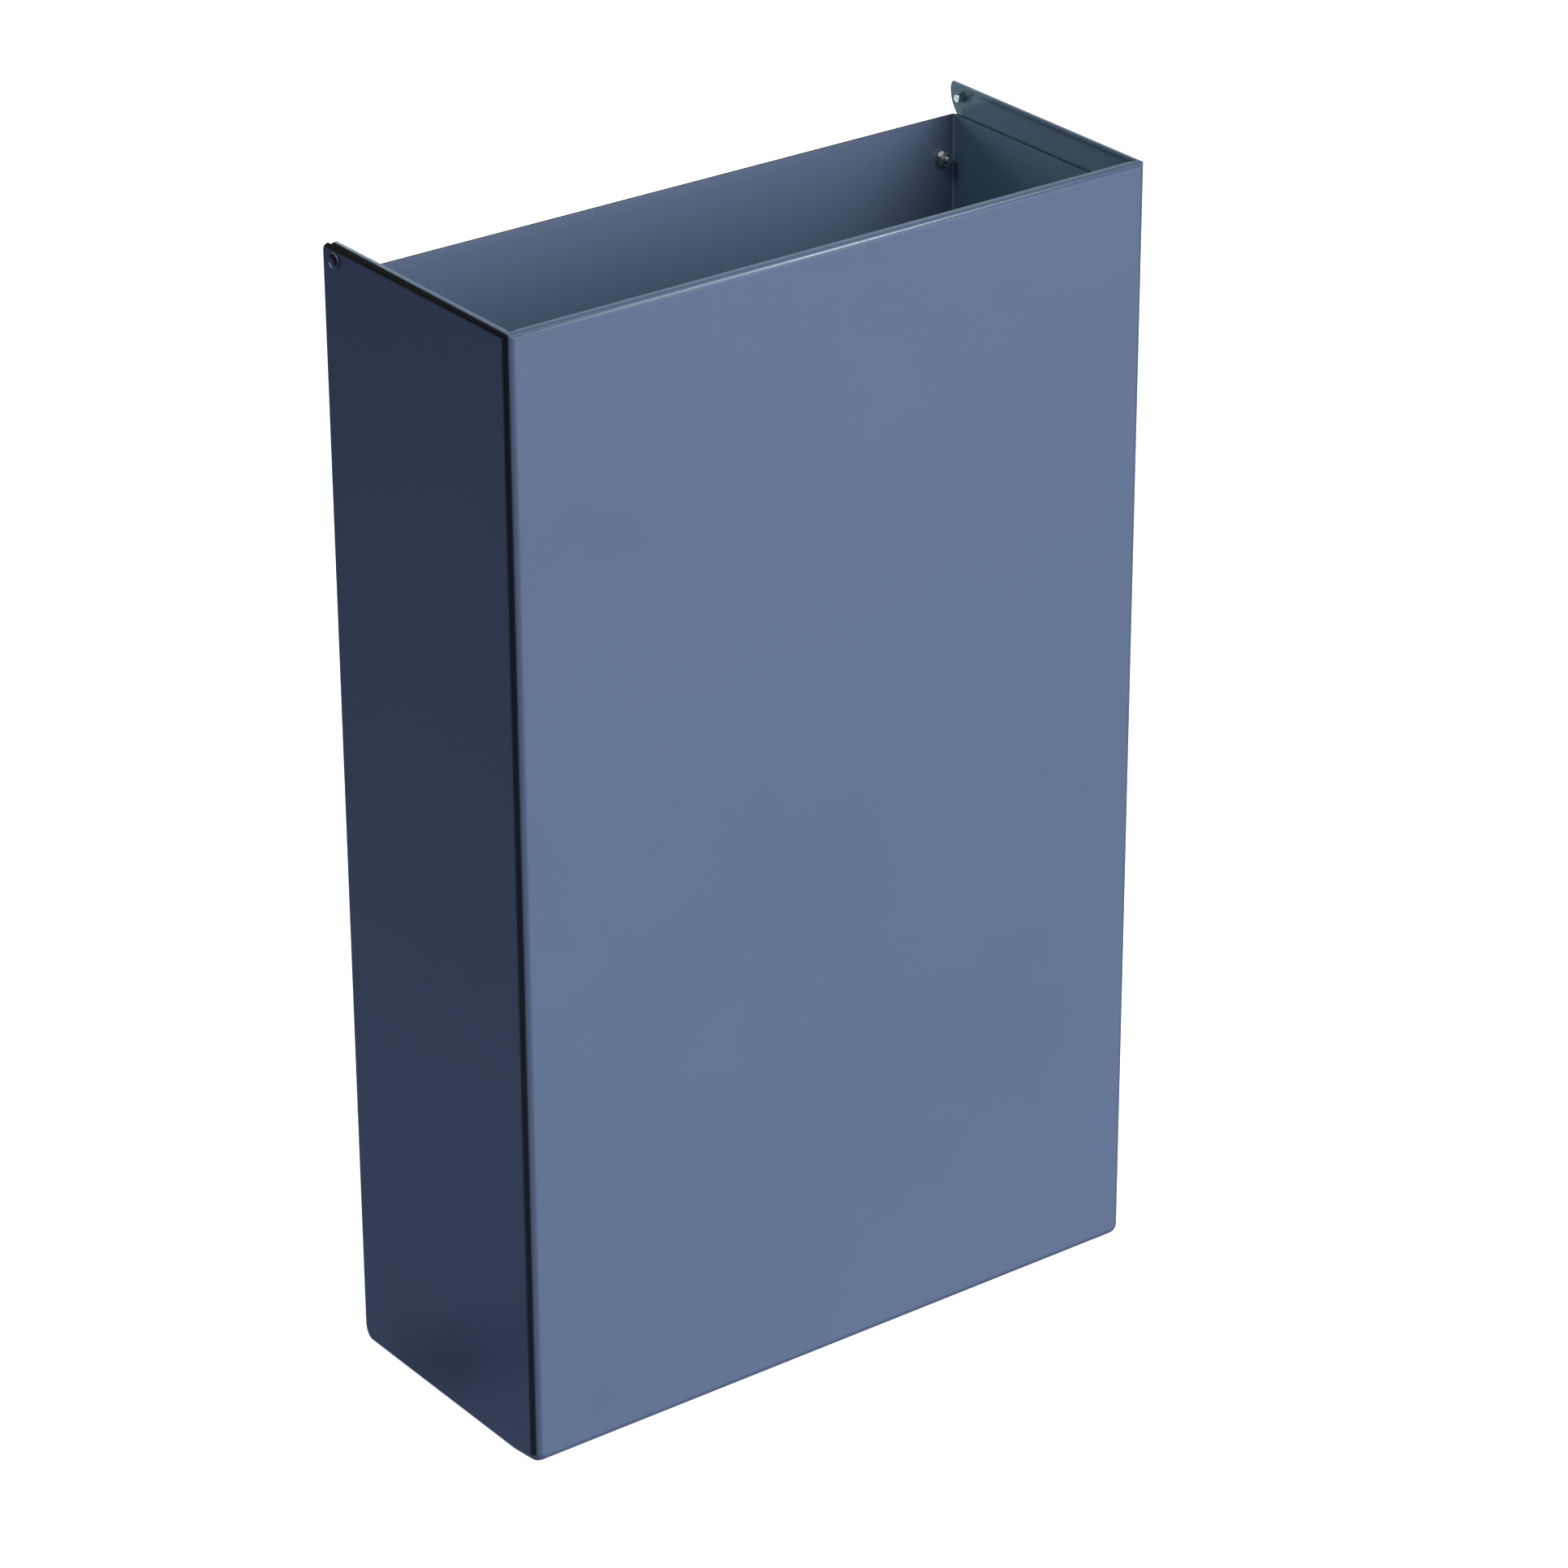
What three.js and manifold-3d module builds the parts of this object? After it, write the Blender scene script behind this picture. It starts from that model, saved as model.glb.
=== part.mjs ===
// A tall, shallow sheet-steel bin that hangs on a wall by two headed pins in its rear ears.
// Millimetres. +Z is up, the front faces -Y and the wall is on the +Y side.
// The origin is the middle of the underside.
import * as THREE from 'three';
import { mergeVertices } from 'three/addons/utils/BufferGeometryUtils.js';
import Module from 'manifold-3d';

// Overall size
const WIDTH = 400;
const DEPTH = 162;
const HEIGHT = 640;

// Sheet and its bends (radii are on the outside of the bend)
const SHEET = 1.5;
const BEND = 2.8;
const UPRIGHT_BEND = 6;
const FOOT_BEND = 3.2;
const FRONT_FOOT_BEND = 6;
const FOOT_RUNOUT = 15;
const LIP_BEND = 4;
const LIP = 4.8;
const FRONT_LIP_START = 8;
const SIDE_LIP_START = 6;

// Side panels behind the back panel
const EAR_RADIUS = 5.5;
const HEEL_RADIUS = 10;
const NECK_DEPTH = 5.7;
const NECK_TOP = 633.5;
const NECK_BOTTOM = 608;

// Back panel: a U of sheet nested inside the shell
const BACK_TOP = 622;
const BACK_INSET = 7;
const WALL_GAP = 1.5;
const FRONT_GAP = 2.5;
const FLOOR_GAP = 1;
const TOE_RADIUS = 8;

// Pivot pins
const PIVOT_INSET = 11;
const PIVOT_DROP = 7.8;
const PIN_RADIUS = 2.5;
const PIN_REACH = 4.8;
const PIN_HEAD_RADIUS = 4.2;
const PIN_HEAD_RIM = 0.6;
const PIN_HEAD_HEIGHT = 2.2;

// Strap across the rear and its M4 fasteners
const STRAP_HEIGHT = 30;
const STRAP_SHEET = 1.5;
const STRAP_LENGTH = 390;
const STRAP_CORNER = 4;
const STRAP_Z = 599;
const FASTENER_X = 187.5;
const SCREW_RADIUS = 2;
const SCREW_HEAD_RADIUS = 4;
const SCREW_HEAD_HEIGHT = 2.2;
const SCREW_HEAD_ROUND = 1.4;
const SCREW_TIP = 1.6;
const RECESS_LENGTH = 4.4;
const RECESS_WIDTH = 0.9;
const RECESS_DEPTH = 1.2;
const WASHER_RADIUS = 4.5;
const WASHER_SHEET = 0.8;
const NUT_FLATS = 7;
const NUT_HEIGHT = 3.2;
const NUT_CHAMFER = 0.5;
const END_CHAMFER = 0.4;

const GAP = 0.3;
const ARC_STEPS = 4;
const ROUND_STEPS = 40;
const BEYOND = 20;

const FRONT = -DEPTH / 2;
const REAR = DEPTH / 2;
const SIDE = WIDTH / 2;
const INSIDE = SIDE - SHEET;
const BACK_FACE = REAR - BACK_INSET;
const BACK_REAR = BACK_FACE + SHEET;
const PIVOT_Y = REAR - PIVOT_INSET;
const PIVOT_Z = HEIGHT - PIVOT_DROP;
const STRAP_FRONT = BACK_REAR + GAP;
const STRAP_REAR = STRAP_FRONT + STRAP_SHEET;

const wasm = await Module();
wasm.setup();

// Turns a closed three.js geometry into a solid for joining and cutting.
function solid(geometry) {
  const bare = geometry.clone();
  bare.deleteAttribute('normal');
  bare.deleteAttribute('uv');
  const merged = mergeVertices(bare, 1e-4);
  return new wasm.Manifold(new wasm.Mesh({
    numProp: 3,
    vertProperties: new Float32Array(merged.attributes.position.array),
    triVerts: new Uint32Array(merged.index.array),
  }));
}

// Turns a solid back into a three.js geometry.
function geometryOf(body) {
  const mesh = body.getMesh();
  const geometry = new THREE.BufferGeometry();
  geometry.setAttribute('position', new THREE.BufferAttribute(new Float32Array(mesh.vertProperties), 3));
  geometry.setIndex(new THREE.BufferAttribute(new Uint32Array(mesh.triVerts), 1));
  geometry.computeVertexNormals();
  return geometry;
}

function block(low, high) {
  const size = high.map((value, i) => value - low[i]);
  const geometry = new THREE.BoxGeometry(...size);
  geometry.translate(...low.map((value, i) => value + size[i] / 2));
  return solid(geometry);
}

// An outline of right-angled corners, each [x, y, radius], rounded by arcs.
function outline(corners) {
  const shape = new THREE.Shape();
  corners.forEach(([x, y, radius], i) => {
    const previous = corners[(i + corners.length - 1) % corners.length];
    const next = corners[(i + 1) % corners.length];
    const back = new THREE.Vector2(previous[0] - x, previous[1] - y);
    const ahead = new THREE.Vector2(next[0] - x, next[1] - y);
    const leftTurn = ahead.cross(back) > 0;
    const start = back.setLength(radius);
    const end = ahead.setLength(radius);
    if (radius > 0) {
      const centre = new THREE.Vector2(x, y).add(start).add(end);
      const from = Math.atan2(-end.y, -end.x);
      const to = Math.atan2(-start.y, -start.x);
      shape.absarc(centre.x, centre.y, radius, from, to, !leftTurn);
    } else if (i === 0) {
      shape.moveTo(x, y);
    } else {
      shape.lineTo(x, y);
    }
  });
  return shape;
}

function extrude(shape, depth) {
  return new THREE.ExtrudeGeometry(shape, { depth, bevelEnabled: false, curveSegments: ARC_STEPS });
}

// A plan outline (x, y) raised from one height to another.
function plan(shape, low, high) {
  const geometry = extrude(shape, high - low);
  geometry.translate(0, 0, low);
  return solid(geometry);
}

// A front-view outline (x, z) run along Y.
function alongY(shape, low, high) {
  const geometry = extrude(shape, high - low);
  geometry.rotateX(Math.PI / 2);
  geometry.translate(0, high, 0);
  return solid(geometry);
}

// A side-view outline (y, z) run along X.
function alongX(shape, low, high) {
  const geometry = extrude(shape, high - low);
  geometry.applyMatrix4(new THREE.Matrix4().makeBasis(
    new THREE.Vector3(0, 1, 0),
    new THREE.Vector3(0, 0, 1),
    new THREE.Vector3(1, 0, 0),
  ));
  geometry.translate(low, 0, 0);
  return solid(geometry);
}

// A round rod along X or Y, used for clearance holes.
function rod(axis, radius, length, centre) {
  const geometry = new THREE.CylinderGeometry(radius, radius, length, ROUND_STEPS);
  if (axis === 'x') geometry.rotateZ(-Math.PI / 2);
  geometry.translate(...centre);
  return solid(geometry);
}

// Rounds the two lower front corners into balls that run out along the side folds.
function roundFeet(body, inset) {
  const x = inset - SIDE;
  const y = FRONT + inset;
  const radius = UPRIGHT_BEND - inset;
  const fold = FOOT_BEND - inset;
  const middle = y + radius;
  const end = middle + FOOT_RUNOUT;
  const sphere = new THREE.SphereGeometry(radius, 4 * ARC_STEPS, 2 * ARC_STEPS);
  sphere.translate(x + radius, middle, inset + radius);
  const disc = new THREE.CylinderGeometry(fold, fold, 0.1, 4 * ARC_STEPS);
  disc.translate(x + fold, end, inset + fold);
  const high = [x + 2 * radius, end, inset + 2 * radius];
  const beside = block([x + radius, middle, inset], high);
  const above = block([x, middle, inset + radius], high);
  const kept = wasm.Manifold.hull([solid(sphere), solid(disc), beside, above]);
  const corner = block([x - 1, y - 1, inset - 1], [x + radius, end, inset + radius]);
  const waste = corner.subtract(kept);
  return body.subtract(waste).subtract(waste.mirror([1, 0, 0]));
}

// The outside of the shell: the common space of its plan, front view and side view.
function shellOutside() {
  const fromAbove = outline([
    [-SIDE, FRONT, UPRIGHT_BEND], [SIDE, FRONT, UPRIGHT_BEND], [SIDE, REAR, 0], [-SIDE, REAR, 0],
  ]);
  const fromFront = outline([
    [-SIDE, 0, FOOT_BEND], [SIDE, 0, FOOT_BEND], [SIDE, HEIGHT, LIP_BEND], [-SIDE, HEIGHT, LIP_BEND],
  ]);
  const fromSide = outline([
    [FRONT, 0, FRONT_FOOT_BEND], [REAR, 0, HEEL_RADIUS],
    [REAR, HEIGHT, EAR_RADIUS], [FRONT, HEIGHT, LIP_BEND],
  ]);
  const body = plan(fromAbove, 0, HEIGHT)
    .intersect(alongY(fromFront, FRONT, REAR))
    .intersect(alongX(fromSide, -SIDE, SIDE));
  return roundFeet(body, 0);
}

// The hollow inside the sheet, closed under the top lips and open at the rear.
function shellHollow() {
  const ceiling = HEIGHT - SHEET;
  const beyond = REAR + BEYOND;
  const front = FRONT + SHEET;
  const corner = UPRIGHT_BEND - SHEET;
  const fromAbove = outline([
    [-INSIDE, front, corner], [INSIDE, front, corner], [INSIDE, beyond, 0], [-INSIDE, beyond, 0],
  ]);
  const fromFront = outline([
    [-INSIDE, SHEET, FOOT_BEND - SHEET], [INSIDE, SHEET, FOOT_BEND - SHEET],
    [INSIDE, ceiling, LIP_BEND - SHEET], [-INSIDE, ceiling, LIP_BEND - SHEET],
  ]);
  const fromSide = outline([
    [front, SHEET, FRONT_FOOT_BEND - SHEET], [beyond, SHEET, 0],
    [beyond, ceiling, 0], [front, ceiling, LIP_BEND - SHEET],
  ]);
  const body = plan(fromAbove, SHEET, ceiling)
    .intersect(alongY(fromFront, front, beyond))
    .intersect(alongX(fromSide, -INSIDE, INSIDE));
  return roundFeet(body, SHEET);
}

// The mouth between the lips, the relief at each front corner and the open end above the ears.
function shellMouth() {
  const low = HEIGHT - LIP_BEND;
  const high = HEIGHT + BEYOND;
  const mouth = block([LIP - SIDE, FRONT + LIP, low], [SIDE - LIP, REAR + BEYOND, high]);
  const relief = block(
    [LIP_BEND - SIDE, FRONT + LIP_BEND, low],
    [SIDE - LIP_BEND, FRONT + SIDE_LIP_START, high],
  );
  const keep = block(
    [FRONT_LIP_START - SIDE, FRONT, low - BEYOND],
    [SIDE - FRONT_LIP_START, FRONT + LIP, high + BEYOND],
  );
  const aboveEars = block([-INSIDE, REAR - EAR_RADIUS, low - SHEET], [INSIDE, REAR + BEYOND, high]);
  return mouth.add(relief.subtract(keep)).add(aboveEars);
}

// The curved notch under the right ear, where its rear edge runs forward to the back panel.
function earNeck() {
  const deepest = REAR - NECK_DEPTH;
  const shape = new THREE.Shape();
  shape.moveTo(REAR + 1, NECK_TOP);
  shape.lineTo(REAR, NECK_TOP);
  shape.bezierCurveTo(REAR - 0.2, NECK_TOP - 5.5, deepest + 3, BACK_TOP + 2, deepest, BACK_TOP - 1);
  shape.bezierCurveTo(deepest - 1, BACK_TOP - 3, deepest - 0.5, BACK_TOP - 5, deepest + 1.5, BACK_TOP - 7);
  shape.lineTo(REAR, NECK_BOTTOM);
  shape.lineTo(REAR + 1, NECK_BOTTOM);
  return alongX(shape, INSIDE - 1, SIDE + 1);
}

function binShell() {
  const rearOfFloor = block([-INSIDE, BACK_REAR, -1], [INSIDE, REAR + BEYOND, HEEL_RADIUS]);
  const pivotHoles = rod('x', PIN_RADIUS + GAP, WIDTH + BEYOND, [0, PIVOT_Y, PIVOT_Z]);
  return shellOutside()
    .subtract(shellHollow())
    .subtract(shellMouth())
    .subtract(rearOfFloor)
    .subtract(pivotHoles)
    .subtract(earNeck());
}

function backPanel() {
  const outer = INSIDE - WALL_GAP;
  const inner = outer - SHEET;
  const front = FRONT + SHEET + FRONT_GAP;
  const foot = SHEET + FLOOR_GAP;
  const fromAbove = outline([
    [-outer, front, 0], [-inner, front, 0],
    [-inner, BACK_FACE, BEND - SHEET], [inner, BACK_FACE, BEND - SHEET],
    [inner, front, 0], [outer, front, 0], [outer, BACK_REAR, BEND], [-outer, BACK_REAR, BEND],
  ]);
  const fromSide = outline([
    [front, foot, TOE_RADIUS], [BACK_REAR + 1, foot, 0], [BACK_REAR + 1, BACK_TOP, 0], [front, BACK_TOP, 0],
  ]);
  let panel = plan(fromAbove, foot, BACK_TOP).intersect(alongX(fromSide, -SIDE, SIDE));
  for (const side of [-1, 1]) {
    const hole = rod('y', SCREW_RADIUS + GAP, BEYOND, [side * FASTENER_X, BACK_REAR, STRAP_Z]);
    panel = panel.subtract(hole);
  }
  return panel;
}

function rearStrap() {
  const half = STRAP_LENGTH / 2;
  const low = STRAP_Z - STRAP_HEIGHT / 2;
  const high = STRAP_Z + STRAP_HEIGHT / 2;
  const shape = outline([
    [-half, low, STRAP_CORNER], [half, low, STRAP_CORNER],
    [half, high, STRAP_CORNER], [-half, high, STRAP_CORNER],
  ]);
  let strap = alongY(shape, STRAP_FRONT, STRAP_REAR);
  for (const side of [-1, 1]) {
    const hole = rod('y', SCREW_RADIUS + GAP, BEYOND, [side * FASTENER_X, STRAP_REAR, STRAP_Z]);
    strap = strap.subtract(hole);
  }
  return strap;
}

// A turned solid about its own Y axis from [radius, height] points, lowest first.
function turned(points) {
  const profile = points.map(([radius, height]) => new THREE.Vector2(radius, height));
  return new THREE.LatheGeometry(profile, ROUND_STEPS);
}

// Points of a domed head from its rim up to the axis.
function dome(radius, low, high) {
  const steps = 6;
  const points = [];
  for (let i = 0; i <= steps; i += 1) {
    const angle = (i / steps) * (Math.PI / 2);
    points.push([i === steps ? 0 : radius * Math.cos(angle), low + (high - low) * Math.sin(angle)]);
  }
  return points;
}

// A headed pin: its tip is at height 0 and its domed head is at the far end.
function pivotPin() {
  const length = PIN_REACH + SHEET + GAP;
  return solid(turned([
    [0, 0],
    [PIN_RADIUS - END_CHAMFER, 0],
    [PIN_RADIUS, END_CHAMFER],
    [PIN_RADIUS, length],
    [PIN_HEAD_RADIUS, length],
    ...dome(PIN_HEAD_RADIUS, length + PIN_HEAD_RIM, length + PIN_HEAD_HEIGHT),
  ]));
}

const WASHER_REAR = BACK_FACE - GAP;
const NUT_REAR = WASHER_REAR - WASHER_SHEET - GAP;
const SCREW_END = NUT_REAR - NUT_HEIGHT - SCREW_TIP;
const HEAD_FRONT = STRAP_REAR + GAP;

// A pan-head screw along Y, with a cross recess in its rear face.
function strapScrew() {
  const length = HEAD_FRONT - SCREW_END;
  const top = length + SCREW_HEAD_HEIGHT;
  const body = solid(turned([
    [0, 0],
    [SCREW_RADIUS - END_CHAMFER, 0],
    [SCREW_RADIUS, END_CHAMFER],
    [SCREW_RADIUS, length],
    [SCREW_HEAD_RADIUS, length],
    ...dome(SCREW_HEAD_RADIUS, top - SCREW_HEAD_ROUND, top),
  ]));
  const half = RECESS_LENGTH / 2;
  const slit = RECESS_WIDTH / 2;
  const across = block([-half, top - RECESS_DEPTH, -slit], [half, top + 1, slit]);
  const upright = block([-slit, top - RECESS_DEPTH, -half], [slit, top + 1, half]);
  return body.subtract(across).subtract(upright);
}

function strapWasher() {
  const hole = SCREW_RADIUS + GAP;
  return solid(turned([
    [hole, 0], [WASHER_RADIUS, 0], [WASHER_RADIUS, WASHER_SHEET], [hole, WASHER_SHEET], [hole, 0],
  ]));
}

// A hexagon nut along Y with chamfered corners on both faces.
function strapNut() {
  const corner = NUT_FLATS / Math.sqrt(3);
  const hexagon = new THREE.CylinderGeometry(corner, corner, NUT_HEIGHT, 6);
  hexagon.translate(0, NUT_HEIGHT / 2, 0);
  const barrel = turned([
    [0, 0], [corner - NUT_CHAMFER, 0], [corner + NUT_CHAMFER, NUT_CHAMFER],
    [corner + NUT_CHAMFER, NUT_HEIGHT - NUT_CHAMFER], [corner - NUT_CHAMFER, NUT_HEIGHT], [0, NUT_HEIGHT],
  ]);
  const hole = rod('y', SCREW_RADIUS + GAP, BEYOND, [0, 0, 0]);
  return solid(hexagon).intersect(solid(barrel)).subtract(hole);
}

function paint() {
  return new THREE.MeshStandardMaterial({ color: 0x677694, roughness: 0.5, metalness: 0.1 });
}

function zincPlate() {
  return new THREE.MeshStandardMaterial({ color: 0xb4b6b8, roughness: 0.35, metalness: 1 });
}

function part(name, body, material) {
  const mesh = new THREE.Mesh(geometryOf(body), material);
  mesh.name = name;
  return mesh;
}

const bin = new THREE.Group();
bin.add(part('bin_shell', binShell(), paint()));
bin.add(part('back_panel', backPanel(), paint()));
bin.add(part('rear_strap', rearStrap(), paint()));

for (const [label, side] of [['left', -1], ['right', 1]]) {
  const pin = part(`${label}_pivot_pin`, pivotPin(), zincPlate());
  pin.rotation.z = -side * Math.PI / 2;
  pin.position.set(side * (INSIDE - PIN_REACH), PIVOT_Y, PIVOT_Z);
  bin.add(pin);

  const fastener = new THREE.Group();
  fastener.position.set(side * FASTENER_X, 0, STRAP_Z);
  const screw = part(`${label}_strap_screw`, strapScrew(), zincPlate());
  screw.position.y = SCREW_END;
  const washer = part(`${label}_strap_washer`, strapWasher(), zincPlate());
  washer.position.y = WASHER_REAR - WASHER_SHEET;
  const nut = part(`${label}_strap_nut`, strapNut(), zincPlate());
  nut.position.y = NUT_REAR - NUT_HEIGHT;
  fastener.add(screw, washer, nut);
  bin.add(fastener);
}

export default bin;
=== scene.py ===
import math

import bpy
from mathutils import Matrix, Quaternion, Vector


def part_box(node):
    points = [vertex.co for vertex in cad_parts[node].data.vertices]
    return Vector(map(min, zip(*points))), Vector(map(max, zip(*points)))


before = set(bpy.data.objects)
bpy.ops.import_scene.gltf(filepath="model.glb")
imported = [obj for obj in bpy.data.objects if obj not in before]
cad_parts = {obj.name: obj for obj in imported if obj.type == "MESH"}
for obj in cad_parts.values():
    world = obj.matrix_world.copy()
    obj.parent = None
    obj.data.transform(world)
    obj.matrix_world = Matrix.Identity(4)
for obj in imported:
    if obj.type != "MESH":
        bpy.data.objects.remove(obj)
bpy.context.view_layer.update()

PINS = ("left_pivot_pin", "right_pivot_pin")

# Colours, linear
WHITE = (1.0, 1.0, 1.0)
PAINT = (0.122, 0.168, 0.272)
PAINT_DEEP = (0.116, 0.160, 0.260)
# Painted shade: darker paint on the shell's bends
PAINT_BEND_SHADE = (0.092, 0.127, 0.205)
# Painted highlight: lighter paint on the back panel's upright folds
PAINT_FOLD_HIGHLIGHT = (0.200, 0.270, 0.400)
# Painted shade: near black paint on the shell's left bends and the back panel's top edge
PAINT_EDGE_SHADE = (0.004, 0.005, 0.008)
ZINC = (0.78, 0.79, 0.80)
ZINC_DULL = (0.56, 0.56, 0.56)

# Surface texture: features per metre, and heights in metres
PAINT_CLOUD = 9.0
PAINT_GRAIN = 1400.0
PAINT_PEEL = 420.0
PEEL_HEIGHT = 0.0002
GRAIN_HEIGHT = 0.0001
PAINT_BUMP = 0.10
ZINC_CLOUD = 700.0
ZINC_LINES = 3000.0
ZINC_LINE_STRETCH = (0.15, 1.0, 1.0)
LINE_HEIGHT = 0.00005
ZINC_BUMP = 0.3
NOISE_MIDDLE = (0.3, 0.7)

# Roughness
PAINT_ROUGHNESS = (0.34, 0.42)
BEND_ROUGHNESS = 0.12
ZINC_ROUGHNESS = (0.24, 0.42)

# Where a surface counts as bent and takes painted shade and highlight, from the parts of its unit
# normal.
# Each pair is where a mask starts and where it is full.
SHELL_BENT = (0.998, 0.95)
SHELL_LEFT = (-0.10, -0.35)
SHELL_NOT_BELOW = (-0.25, -0.05)
UPRIGHT_HOLD = 0.6
PANEL_BENT = (0.99, 0.85)
PANEL_TOP = (0.4, 0.7)

# Edges
WELD_GAP = 0.00001
FLAT_ANGLE = math.radians(0.5)
CRISP_ANGLE = math.radians(25)
SOFT_ANGLE = math.radians(50)
SOFT_EDGE = 0.00025
CRISP_EDGE = 0.0

# Floor and room
FLOOR_REACH = 30.0
FLOOR_DROP = 0.0005
FLOOR_PAPER = 0.86
FLOOR_LIFT = 0.93
# Painted light: the floor glows for all rays but the camera's, standing in for the light it bounces,
# with a painted shadow at the left side's foot
FLOOR_GLOW = (0.185, 0.23, 0.35)
GLOW_REACH = (3.0, 0.2)
GLOW_FAR = 0.4
SHADE_CENTRE = (-0.245, 0.03, 0.0)
SHADE_REACH = (0.0, 0.065)
SHADE_DARKEST = 0.15
ROOM = (0.97, 1.0, 1.03)
ROOM_STRENGTH = 0.15

# Lamps: name, place, target, width, height, power, colour
COOL = (0.73, 1.0, 0.84)
LAMPS = (
    ("key", (3.6, -8.4, 4.6), (0.0, 0.0, 0.35), 7.6, 8.0, 1110.0, WHITE),
    ("strip", (5.1, -7.6, 1.6), (0.0, 0.0, 0.6), 2.8, 0.4, 110.0, WHITE),
    ("rim", (2.3, 3.1, 2.9), (0.0, 0.0, 0.5), 2.4, 2.0, 12.0, WHITE),
    ("mouth", (-0.12, -0.02, 1.0), (0.2, 0.0, 0.6), 0.14, 0.14, 0.53, COOL),
    ("ear", (-0.07, 0.36, 0.70), (0.2, 0.0, 0.635), 0.16, 0.16, 0.56, COOL),
    ("glint", (-0.13, 0.50, 0.37), (0.194, 0.07, 0.632), 0.10, 0.10, 0.17, COOL),
)

# Camera
CAMERA_PLACE = (-1.6568, -2.2525, 1.6905)
AZIMUTH = math.radians(36.75)
ELEVATION = math.radians(26.28)
ROLL = math.radians(-0.19)
SENSOR_MM = 36.0
LENS_MM = 134.74
CLIP_NEAR = 0.05
CLIP_FAR = 100.0


# Nodes

def new_material(name):
    material = bpy.data.materials.new(name)
    material.use_nodes = True
    nodes = material.node_tree.nodes
    return material, nodes, material.node_tree.links, nodes["Principled BSDF"]


def object_coordinates(nodes):
    return nodes.new("ShaderNodeTexCoord").outputs["Object"]


def split_normal(nodes, links):
    """The X, Y and Z outputs of the surface's direction in the object's own frame."""
    split = nodes.new("ShaderNodeSeparateXYZ")
    links.new(nodes.new("ShaderNodeTexCoord").outputs["Normal"], split.inputs["Vector"])
    return [split.outputs[axis] for axis in "XYZ"]


def noise(nodes, links, coordinates, scale, detail=2.0, stretch=None):
    """A noise texture's value output, at a number of features per metre."""
    texture = nodes.new("ShaderNodeTexNoise")
    texture.inputs["Scale"].default_value = scale
    texture.inputs["Detail"].default_value = detail
    if stretch is None:
        links.new(coordinates, texture.inputs["Vector"])
    else:
        mapping = nodes.new("ShaderNodeMapping")
        mapping.inputs["Scale"].default_value = stretch
        links.new(coordinates, mapping.inputs["Vector"])
        links.new(mapping.outputs["Vector"], texture.inputs["Vector"])
    return texture.outputs["Fac"]


def spread(nodes, links, value, low, high):
    """Maps the middle of a noise value onto low to high."""
    ramp = nodes.new("ShaderNodeMapRange")
    ramp.inputs["From Min"].default_value = NOISE_MIDDLE[0]
    ramp.inputs["From Max"].default_value = NOISE_MIDDLE[1]
    ramp.inputs["To Min"].default_value = low
    ramp.inputs["To Max"].default_value = high
    links.new(value, ramp.inputs["Value"])
    return ramp.outputs["Result"]


def between(nodes, links, value, start, full):
    """0 at start, 1 at full and smooth between them. Either one may be the larger."""
    ramp = nodes.new("ShaderNodeMapRange")
    ramp.interpolation_type = "SMOOTHSTEP"
    ramp.inputs["From Min"].default_value = start
    ramp.inputs["From Max"].default_value = full
    links.new(value, ramp.inputs["Value"])
    return ramp.outputs["Result"]


def math_node(nodes, links, operation, *values):
    node = nodes.new("ShaderNodeMath")
    node.operation = operation
    for socket, value in zip(node.inputs, values):
        if isinstance(value, float):
            socket.default_value = value
        else:
            links.new(value, socket)
    return node.outputs["Value"]


def mix_colour(nodes, links, factor, a, b):
    mix = nodes.new("ShaderNodeMix")
    mix.data_type = "RGBA"
    links.new(factor, mix.inputs["Factor"])
    for socket, colour in ((mix.inputs["A"], a), (mix.inputs["B"], b)):
        if isinstance(colour, tuple):
            socket.default_value = (*colour, 1.0)
        else:
            links.new(colour, socket)
    return mix.outputs["Result"]


def bump(nodes, links, height, distance, strength, under=None):
    node = nodes.new("ShaderNodeBump")
    node.inputs["Distance"].default_value = distance
    node.inputs["Strength"].default_value = strength
    links.new(height, node.inputs["Height"])
    if under is not None:
        links.new(under, node.inputs["Normal"])
    return node.outputs["Normal"]


def plug(links, shader, colour, roughness, normal):
    links.new(colour, shader.inputs["Base Color"])
    links.new(roughness, shader.inputs["Roughness"])
    links.new(normal, shader.inputs["Normal"])


# Finishes

def shell_bend_shade(nodes, links, colour, roughness):
    """Painted shade: darker, glossier paint where the surface turns, nearly black where it turns to
    the left.
    """
    x, y, z = split_normal(nodes, links)
    sizes = [math_node(nodes, links, "ABSOLUTE", part) for part in (x, y, z)]
    largest = math_node(nodes, links, "MAXIMUM", sizes[0], sizes[1])
    largest = math_node(nodes, links, "MAXIMUM", largest, sizes[2])
    turned = between(nodes, links, largest, *SHELL_BENT)
    leftward = math_node(nodes, links, "MULTIPLY_ADD", sizes[1], UPRIGHT_HOLD, x)
    to_left = between(nodes, links, leftward, *SHELL_LEFT)
    not_below = between(nodes, links, z, *SHELL_NOT_BELOW)
    edge = math_node(nodes, links, "MULTIPLY", to_left, not_below)
    # Painted shade, darker on the bends and near black on those turned to the left
    dark = mix_colour(nodes, links, edge, PAINT_BEND_SHADE, PAINT_EDGE_SHADE)
    smoother = nodes.new("ShaderNodeMix")
    smoother.inputs["B"].default_value = BEND_ROUGHNESS
    links.new(turned, smoother.inputs["Factor"])
    links.new(roughness, smoother.inputs["A"])
    return mix_colour(nodes, links, turned, colour, dark), smoother.outputs["Result"]


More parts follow.
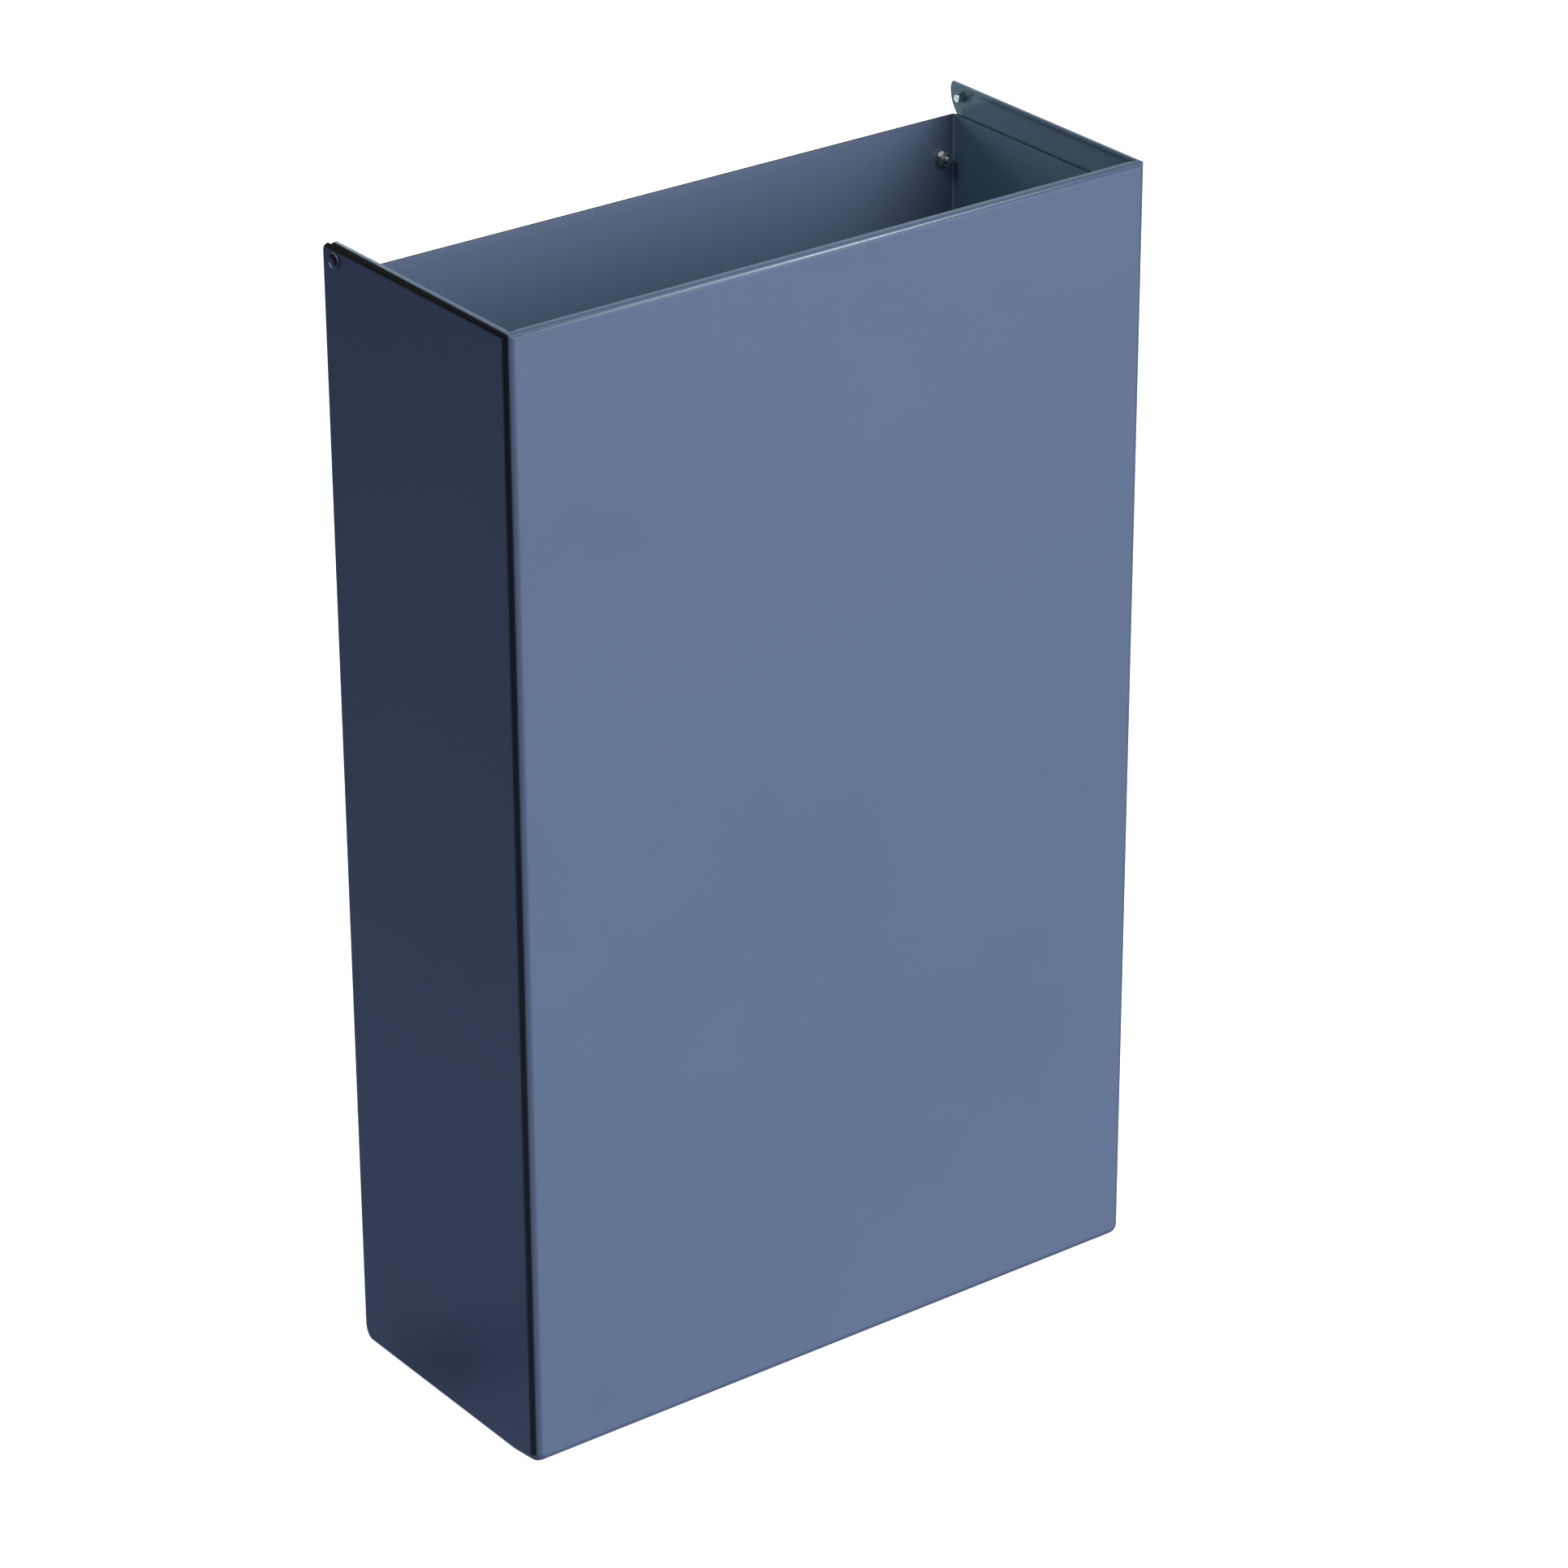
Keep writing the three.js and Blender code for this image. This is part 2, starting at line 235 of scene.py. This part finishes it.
def panel_fold_highlight_edge_shade(nodes, links, colour, roughness):
    """A painted highlight of lighter paint on the panel's upright folds, and painted shade of nearly
    black paint on its top edge.
    """
    x, y, z = split_normal(nodes, links)
    sizes = [math_node(nodes, links, "ABSOLUTE", part) for part in (x, y)]
    largest = math_node(nodes, links, "MAXIMUM", *sizes)
    folded = between(nodes, links, largest, *PANEL_BENT)
    # Painted highlight on the upright folds
    light = mix_colour(nodes, links, folded, colour, PAINT_FOLD_HIGHLIGHT)
    on_top = between(nodes, links, z, *PANEL_TOP)
    # Painted shade on the top edge
    return mix_colour(nodes, links, on_top, light, PAINT_EDGE_SHADE), roughness


def paint_look(nodes, links, bends=None):
    """Colour, roughness and normal outputs of a satin powder coat with a very fine orange peel."""
    where = object_coordinates(nodes)
    cloud = noise(nodes, links, where, PAINT_CLOUD, 3.0)
    grain = noise(nodes, links, where, PAINT_GRAIN)
    peel = noise(nodes, links, where, PAINT_PEEL, 1.0)
    tint = mix_colour(nodes, links, spread(nodes, links, cloud, 0.0, 1.0), PAINT_DEEP, PAINT)
    colour = mix_colour(nodes, links, spread(nodes, links, grain, 0.0, 0.25), tint, PAINT_DEEP)
    roughness = spread(nodes, links, grain, *PAINT_ROUGHNESS)
    # The optional bend function paints shade and highlight onto the bends
    if bends is not None:
        colour, roughness = bends(nodes, links, colour, roughness)
    normal = bump(nodes, links, peel, PEEL_HEIGHT, PAINT_BUMP)
    normal = bump(nodes, links, grain, GRAIN_HEIGHT, PAINT_BUMP, normal)
    return colour, roughness, normal


def metal_look(nodes, links):
    """Colour, roughness and normal outputs of bright zinc plate."""
    where = object_coordinates(nodes)
    cloud = noise(nodes, links, where, ZINC_CLOUD, 4.0)
    lines = noise(nodes, links, where, ZINC_LINES, stretch=ZINC_LINE_STRETCH)
    colour = mix_colour(nodes, links, spread(nodes, links, cloud, 0.0, 0.8), ZINC, ZINC_DULL)
    roughness = spread(nodes, links, lines, *ZINC_ROUGHNESS)
    normal = bump(nodes, links, lines, LINE_HEIGHT, ZINC_BUMP)
    return colour, roughness, normal


def powder_coat(name, bends=None):
    material, nodes, links, shader = new_material(name)
    plug(links, shader, *paint_look(nodes, links, bends))
    return material


def zinc_plate():
    material, nodes, links, shader = new_material("zinc_plate")
    plug(links, shader, *metal_look(nodes, links))
    shader.inputs["Metallic"].default_value = 1.0
    return material


def pin_finish(outside):
    """Paint on the head outside the sheet and bare metal inside it, split where |x| passes outside."""
    material, nodes, links, painted = new_material("pin_steel")
    # The painted head takes the shell's painted shade on its turned slopes, a dark ring round a
    # lighter middle
    plug(links, painted, *paint_look(nodes, links, shell_bend_shade))
    bare = nodes.new("ShaderNodeBsdfPrincipled")
    plug(links, bare, *metal_look(nodes, links))
    bare.inputs["Metallic"].default_value = 1.0
    split = nodes.new("ShaderNodeSeparateXYZ")
    links.new(object_coordinates(nodes), split.inputs["Vector"])
    from_middle = math_node(nodes, links, "ABSOLUTE", split.outputs["X"])
    inside = math_node(nodes, links, "LESS_THAN", from_middle, outside)
    mix = nodes.new("ShaderNodeMixShader")
    links.new(inside, mix.inputs["Fac"])
    links.new(painted.outputs["BSDF"], mix.inputs[1])
    links.new(bare.outputs["BSDF"], mix.inputs[2])
    links.new(mix.outputs["Shader"], nodes["Material Output"].inputs["Surface"])
    return material


def finish_node(name, material, edge):
    """Gives a CAD node its material, and softens its edges as paint or plating does."""
    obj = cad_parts[name]
    obj.data.materials.clear()
    obj.data.materials.append(material)
    for polygon in obj.data.polygons:
        polygon.use_smooth = True
    weld = obj.modifiers.new("weld", "WELD")
    weld.merge_threshold = WELD_GAP
    flat = obj.modifiers.new("flat", "DECIMATE")
    flat.decimate_type = "DISSOLVE"
    flat.angle_limit = FLAT_ANGLE
    if edge == CRISP_EDGE:
        crisp = obj.modifiers.new("crisp", "EDGE_SPLIT")
        crisp.split_angle = CRISP_ANGLE
    else:
        soften = obj.modifiers.new("soften", "BEVEL")
        soften.width = edge
        soften.segments = 2
        soften.limit_method = "ANGLE"
        soften.angle_limit = SOFT_ANGLE
        soften.use_clamp_overlap = True
        soften.harden_normals = False
    normals = obj.modifiers.new("normals", "WEIGHTED_NORMAL")
    normals.weight = 100
    normals.keep_sharp = True


COATS = {
    # The shell and back panel take painted shade and highlight at their bends
    "bin_shell": powder_coat("powder_coat_shell", shell_bend_shade),
    "back_panel": powder_coat("powder_coat_panel", panel_fold_highlight_edge_shade),
    "rear_strap": powder_coat("powder_coat"),
}
METAL = zinc_plate()
PIN = pin_finish(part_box("bin_shell")[1].x)
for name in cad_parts:
    if name in COATS:
        finish_node(name, COATS[name], SOFT_EDGE)
    elif name in PINS:
        finish_node(name, PIN, CRISP_EDGE)
    else:
        finish_node(name, METAL, CRISP_EDGE)


# Studio

def aimed(obj, target):
    obj.rotation_mode = "QUATERNION"
    obj.rotation_quaternion = (Vector(target) - obj.location).to_track_quat("-Z", "Y")


def softbox(name, position, target, width, height, power, colour):
    data = bpy.data.lights.new(name, "AREA")
    data.shape = "RECTANGLE"
    data.size = width
    data.size_y = height
    data.energy = power
    data.color = colour
    light = bpy.data.objects.new(name, data)
    bpy.context.scene.collection.objects.link(light)
    light.location = position
    light.visible_camera = False
    aimed(light, target)


def background_for(tree, colour, strength):
    node = tree.nodes.new("ShaderNodeBackground")
    node.inputs["Color"].default_value = (*colour, 1.0)
    node.inputs["Strength"].default_value = strength
    return node.outputs["Background"]


def by_camera_ray(tree, others, seen, output):
    """Rays from the camera meet one shader, and all other rays meet the other."""
    path = tree.nodes.new("ShaderNodeLightPath")
    mix = tree.nodes.new("ShaderNodeMixShader")
    tree.links.new(path.outputs["Is Camera Ray"], mix.inputs["Fac"])
    tree.links.new(others, mix.inputs[1])
    tree.links.new(seen, mix.inputs[2])
    tree.links.new(mix.outputs["Shader"], output)


def glow_strength(nodes, links):
    """Strength of the floor's painted glow: full near the object, weaker far from it, and weakest in a
    painted shadow spot at its left side's foot.
    """
    where = object_coordinates(nodes)
    far = nodes.new("ShaderNodeVectorMath")
    far.operation = "LENGTH"
    links.new(where, far.inputs[0])
    near = between(nodes, links, far.outputs["Value"], *GLOW_REACH)
    fall = math_node(nodes, links, "MULTIPLY_ADD", near, 1.0 - GLOW_FAR, GLOW_FAR)
    # A painted shadow in the glow, at the left side's foot
    spot = nodes.new("ShaderNodeVectorMath")
    spot.operation = "DISTANCE"
    spot.inputs[1].default_value = SHADE_CENTRE
    links.new(where, spot.inputs[0])
    away = between(nodes, links, spot.outputs["Value"], *SHADE_REACH)
    shade = math_node(nodes, links, "MULTIPLY_ADD", away, 1.0 - SHADE_DARKEST, SHADE_DARKEST)
    return math_node(nodes, links, "MULTIPLY", fall, shade)


def studio_floor():
    """A pale floor, white to the camera, and a dim blue painted glow to all other rays, which lights
    the object and shows in its reflections.
    """
    mesh = bpy.data.meshes.new("floor")
    turns = ((-1, -1), (1, -1), (1, 1), (-1, 1))
    corners = [(x * FLOOR_REACH, y * FLOOR_REACH, -FLOOR_DROP) for x, y in turns]
    mesh.from_pydata(corners, [], [(0, 1, 2, 3)])
    floor = bpy.data.objects.new("floor", mesh)
    bpy.context.scene.collection.objects.link(floor)
    material, nodes, links, paper = new_material("floor_paper")
    paper.inputs["Base Color"].default_value = (FLOOR_PAPER, FLOOR_PAPER, FLOOR_PAPER, 1.0)
    paper.inputs["Roughness"].default_value = 1.0
    paper.inputs["Specular IOR Level"].default_value = 0.0
    paper.inputs["Emission Color"].default_value = (*WHITE, 1.0)
    paper.inputs["Emission Strength"].default_value = FLOOR_LIFT
    glow = nodes.new("ShaderNodeEmission")
    glow.inputs["Color"].default_value = (*FLOOR_GLOW, 1.0)
    links.new(glow_strength(nodes, links), glow.inputs["Strength"])
    by_camera_ray(
        material.node_tree, glow.outputs["Emission"], paper.outputs["BSDF"],
        nodes["Material Output"].inputs["Surface"],
    )
    mesh.materials.append(material)


def studio_world():
    world = bpy.data.worlds.new("studio")
    world.use_nodes = True
    tree = world.node_tree
    tree.nodes.remove(tree.nodes["Background"])
    by_camera_ray(
        tree,
        background_for(tree, ROOM, ROOM_STRENGTH),
        background_for(tree, WHITE, 1.0),
        tree.nodes["World Output"].inputs["Surface"],
    )
    bpy.context.scene.world = world


def studio_camera():
    lens = bpy.data.cameras.new("camera")
    lens.sensor_width = SENSOR_MM
    lens.lens = LENS_MM
    lens.clip_start = CLIP_NEAR
    lens.clip_end = CLIP_FAR
    camera = bpy.data.objects.new("camera", lens)
    bpy.context.scene.collection.objects.link(camera)
    camera.location = CAMERA_PLACE
    camera.rotation_mode = "QUATERNION"
    look = Vector((
        math.sin(AZIMUTH) * math.cos(ELEVATION),
        math.cos(AZIMUTH) * math.cos(ELEVATION),
        -math.sin(ELEVATION),
    ))
    camera.rotation_quaternion = look.to_track_quat("-Z", "Y") @ Quaternion((0.0, 0.0, 1.0), ROLL)
    bpy.context.scene.camera = camera


studio_floor()
studio_world()
for lamp in LAMPS:
    softbox(*lamp)
bpy.context.scene.view_settings.view_transform = "Standard"
studio_camera()
